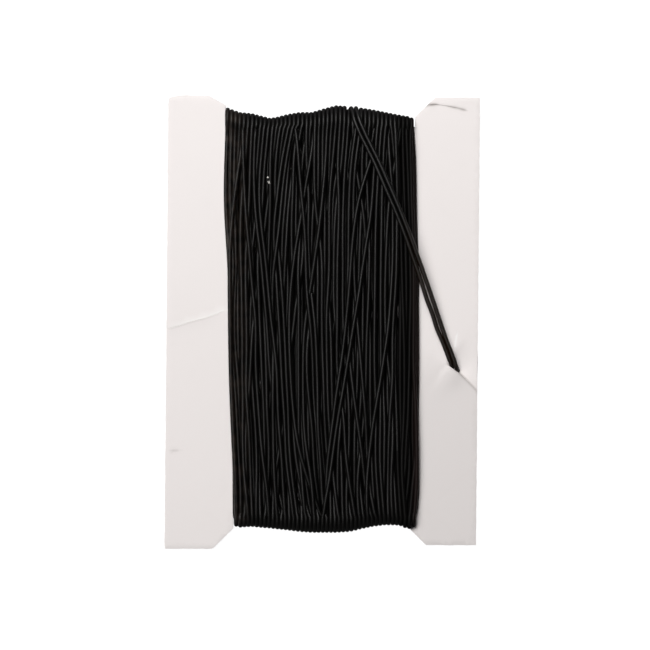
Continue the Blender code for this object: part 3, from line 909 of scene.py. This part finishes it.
def packEnd(across, laid, there, first, last, crowding):
    # The turns over one end in layers, the last laid outermost: their places across, and how deep they are
    d = elastic["diameter"]
    layers = []
    order = np.argsort(-laid)
    for k in order[there[order]]:
        for layer in layers:
            if min(abs(across[k] - across[j]) for j in layer) > crowding * d:
                layer.append(k)
                break
        else:
            layers.append([k])
    places, depthOf = across.copy(), np.zeros(len(across))
    for n, layer in enumerate(layers):
        layer = sorted(layer, key=lambda k: across[k])
        even = np.linspace(first, last, len(layer)) if len(layer) > winding["endFull"] else across[layer]
        kept = np.clip(across[layer], first, last)
        places[layer] = winding["endEven"] * even + (1 - winding["endEven"]) * kept
        depthOf[layer] = n * winding["endPitch"] * d
    return places, depthOf


def settleTurns(rows, across, laid, ending):
    # Lays the turns over each other in their order, then draws them in while they push apart
    kind = rows[:, 0].astype(int)
    turns, stations = across.shape
    d, r = elastic["diameter"], cordRadius
    left, right = sideLimits(rows[:, 1])
    across = np.clip(across, left, right)
    there = np.ones((turns, stations), bool)
    for turn in ending:
        there[turn, kind == topEnd] = False  # there the loose strand goes on instead
    atEnd = (kind == topEnd) | (kind == bottomEnd)
    buried = np.zeros((turns, stations))
    for where, span in zip((topEnd, bottomEnd), winding["endSpans"]):
        s = np.argmax(np.where(kind == where, np.abs(rows[:, 3]), -1))
        places, depthOf = packEnd(across[:, s], laid, there[:, s], *span)
        moved = (places - across[:, s])[:, None]
        buried[:, kind == where] = depthOf[:, None]
        far = np.abs(rows[:, 1] - rows[s, 1])
        near = np.where(kind == where, 1.0, np.clip(1 - far / winding["endBlend"], 0, 1) ** 3)
        if where == bottomEnd:
            across += near * moved
        else:
            # the front run after the top end is the next turn's
            across += near * (kind != front) * moved
            across[1:] += near * (kind == front) * moved[:-1]
    target = across.copy()
    depth = np.full((turns, stations), r)
    order = np.argsort(laid)
    for n, k in enumerate(order[1:], 1):
        under = order[:n]
        gap = np.where(there[under], np.abs(across[under] - across[k]), 9 * d)
        rise = winding["laidOver"] * np.sqrt(np.maximum(d * d - gap * gap, 0))
        depth[k] = np.maximum(r, np.where(gap < d, depth[under] + rise, 0).max(0))
    free = there.reshape(-1)
    joined = np.zeros(turns * stations, bool)
    joined[1:-1] = free[:-2] & free[1:-1] & free[2:]
    for turn in ending:
        start = (turn + 1) * stations
        joined[start - 1: start + 1] = False

    def limits():
        ends = np.maximum(wantedDepth(rows, across) - r - buried, r)
        runs = np.where(kind == back, winding["cardBack"] - r, 99.0)
        return np.where(atEnd, ends, r), np.where(atEnd, ends, runs)

    def closePairs():
        x, h, here = across.T, depth.T, there.T
        far = (x[:, :, None] - x[:, None]) ** 2 + (h[:, :, None] - h[:, None]) ** 2
        near = (far < (winding["pairReach"] * d) ** 2) & here[:, :, None] & here[:, None]
        s, i, j = np.nonzero(np.triu(near, 1))
        return i, j, s

    def pushApart(pairs, inner, outer, passes):
        i, j, s = pairs
        first, second = i * stations + s, j * stations + s
        size = turns * stations
        for _ in range(passes):
            dx, dh = across[i, s] - across[j, s], depth[i, s] - depth[j, s]
            far = np.hypot(dx, dh) + 1e-9
            push = np.maximum(d - far, 0) / 2
            hit = (push > 0).astype(float)
            share = np.maximum((np.bincount(first, hit, size) + np.bincount(second, hit, size)) / 2, 1)
            for values, part in ((across, dx), (depth, dh)):
                move = part / far * push
                change = np.bincount(first, move, size) - np.bincount(second, move, size)
                values += (change / share).reshape(turns, stations)
            np.clip(across, left, right, out=across)
            across[:, atEnd] = target[:, atEnd]
            np.clip(depth, inner, outer, out=depth)

    def evenOut(values, share, where):
        flat = values.reshape(-1)
        flat[1:-1] += share * ((flat[:-2] + flat[2:]) / 2 - flat[1:-1]) * where[1:-1]

    evenDepth, evenAcross = winding["evened"]
    passes, lastPasses = winding["passes"]
    for n in range(winding["rounds"]):
        if n % winding["pairsEvery"] == 0:
            pairs = closePairs()
            inner, outer = limits()
        depth -= winding["drawnIn"][n >= winding["calmFrom"] * winding["rounds"]]
        evenOut(depth, evenDepth, joined)
        evenOut(across, evenAcross, joined)
        across += winding["keptPlace"] * (target - across)
        pushApart(pairs, inner, outer, passes)
    pushApart(closePairs(), *limits(), lastPasses)
    for _ in range(winding["softening"]):
        for values in (across, depth):
            evenOut(values, 0.5, joined & np.tile(~atEnd, turns))
    return across, depth, there


def levelPile(rows, across, depth, there):
    # Moves the settled turns in or out, with their neighbours, to the depth of the real winding
    grid = np.linspace(-25, 25, 101)
    reach, reachAcross, reachAlong = winding["levelReach"]
    near = (np.abs(across[:, :, None] - grid) < reach) & there[:, :, None]
    tops = np.where(near, depth[:, :, None] + cordRadius, 0).max(0)
    filled = (tops > 0).astype(float)
    kernel = bell(np.arange(-8, 9) * (grid[1] - grid[0]) / reachAcross)
    nearby = np.arange(-5, 6)

    def spread(values):
        values = np.apply_along_axis(lambda v: np.convolve(v, kernel, "same"), 1, values)
        return sum(np.roll(values, k, axis=0) * bell(k / reachAlong) for k in nearby)

    evenTops = spread(tops * filled) / np.maximum(spread(filled), 1e-6)
    wanted = np.array([wantedDepth(rows, x) for x in grid]).T
    shift = np.clip(wanted - evenTops, *winding["levelMost"]) * (1 - np.abs(rows[:, 3:4])) ** 2
    for s in range(len(rows)):
        depth[:, s] += np.interp(across[:, s], grid, shift[s])
    return np.maximum(depth, winding["leastDepth"] * cordRadius)


def keepUnderLoose(rows, across, depth):
    # The turns stay under the loose strands that lie across them
    d = elastic["diameter"]
    onFront = rows[:, 0] == front
    y = rows[onFront, 1]
    lowest, start = winding["looseOver"]
    for line in looseLines:
        over = line[(line[:, 2] > lowest * mm) & (line[:, 1] > start * mm)] / mm
        over = over[np.argsort(over[:, 1])]
        gap = np.abs(across[:, onFront] - np.interp(y, over[:, 1], over[:, 0], left=99, right=99))
        height = np.interp(y, over[:, 1], over[:, 2]) - faceHeight
        limit = height - np.sqrt(np.maximum(d * d - gap * gap, 0))
        depth[:, onFront] = np.where(gap < d, np.minimum(depth[:, onFront], limit), depth[:, onFront])
    return depth


def joinLoose(end, line):
    # From the last station on the back into the start of a loose strand
    reach = np.linalg.norm(line[0] - end[-1])
    leave, arrive = (step / np.linalg.norm(step) * reach for step in (end[-1] - end[-2], line[1] - line[0]))
    t = np.linspace(0, 1, winding["joinSteps"])[1:, None]
    return curveBetween(t, end[-1], line[0], leave, arrive)


def makeWinding():
    rows = windingStations()
    across, laid, ending = layTurns(rows)
    across, depth, there = settleTurns(rows, across, laid, ending)
    depth = levelPile(rows, across, depth, there)
    depth = keepUnderLoose(rows, across, depth)
    power = winding["endSquare"]
    depth = depth / (np.abs(rows[:, 3]) ** power + np.abs(rows[:, 4]) ** power) ** (1 / power)
    y = rows[:, 1] + rows[:, 3] * depth
    z = np.maximum(rows[:, 2] + rows[:, 4] * depth, cordRadius)
    places = np.stack([across, y, z], axis=-1) * mm
    flatter = np.broadcast_to(1 + winding["endFlatten"] * np.abs(rows[:, 3]), across.shape)
    lengths = []
    first = 0
    for turn, line in zip(ending, looseLines):
        part = places[first: turn + 1].reshape(-1, 3)[: -winding["endStations"]]
        wide = flatter[first: turn + 1].reshape(-1)[: -winding["endStations"]]
        tail = joinLoose(part, line)
        lengths.append((np.concatenate([part, tail]), np.concatenate([wide, np.ones(len(tail))])))
        first = turn + 1
    # the long length in three meshes that meet, the short one in the third
    long, short = lengths
    third = len(long[0]) // 3
    parts = [[tuple(v[k * third: (k + 1) * third + 1 if k < 2 else None] for v in long)] for k in range(3)]
    parts[2].append(short)
    for number, strands in enumerate(parts, 1):
        item = tubeMesh(f"woundTurns{number}", strands, cordWidth, winding["sides"], woundElastic,
                        rubbedElastic)
        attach(item, "root")
        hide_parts("winding")
    cord = sum(np.linalg.norm(np.diff(v[0], axis=0), axis=1).sum() for v in lengths)
    print(f"the winding is laid: {len(across)} turns, {cord:.1f} m of cord")
    return places[:, rows[:, 0] == front].reshape(-1, 3)


woundPlaces = makeWinding()


# Lint that the elastic has caught

lint = {
    "tufts": ((-13.55, 36.0, 0.24, 7), (-13.2, 34.7, 0.34, 5)),  # x, y, reach, fibres
    "near": 1.2,  # how far round a tuft the cord is that it lies on
    "thick": 0.085,
    "sides": 5,
    "steps": 10,
    "long": 2.6,  # a fibre's length, of its tuft's reach
    "bend": 0.7,
    "lift": 0.3,
    "stray": 0.25,
    "sunk": 0.05,
    "colour": (0.82, 0.80, 0.76),
    "seed": 5,
}


def makeLint():
    material, tree, shader = newMaterial("paleLint")
    setSockets(tree, shader, {"Base Color": (*lint["colour"], 1.0), "Roughness": 0.9})
    rng = np.random.default_rng(lint["seed"])
    steps = lint["steps"]
    fibres = []
    for x, y, reach, count in lint["tufts"]:
        far = np.hypot(woundPlaces[:, 0] / mm - x, woundPlaces[:, 1] / mm - y)
        top = woundPlaces[far < lint["near"], 2].max() / mm + cordRadius
        for _ in range(count):
            turns = np.cumsum(rng.normal(0, lint["bend"], steps)) + rng.uniform(0, 2 * math.pi)
            lifts = rng.normal(0, lint["lift"], steps)
            path = np.cumsum(np.column_stack([np.cos(turns), np.sin(turns), lifts]), 0)
            path *= lint["long"] * reach / steps
            path += np.array((x, y, top)) - path.mean(0) + rng.normal(0, lint["stray"], 3) * reach
            path[:, 2] = np.maximum(path[:, 2], top - lint["sunk"])
            fibres.append((path * mm, np.ones(steps)))
    item = tubeMesh("lint", fibres, lint["thick"] * mm, lint["sides"], material)
    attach(item, "root")


makeLint()
print("lint is caught in the elastic")
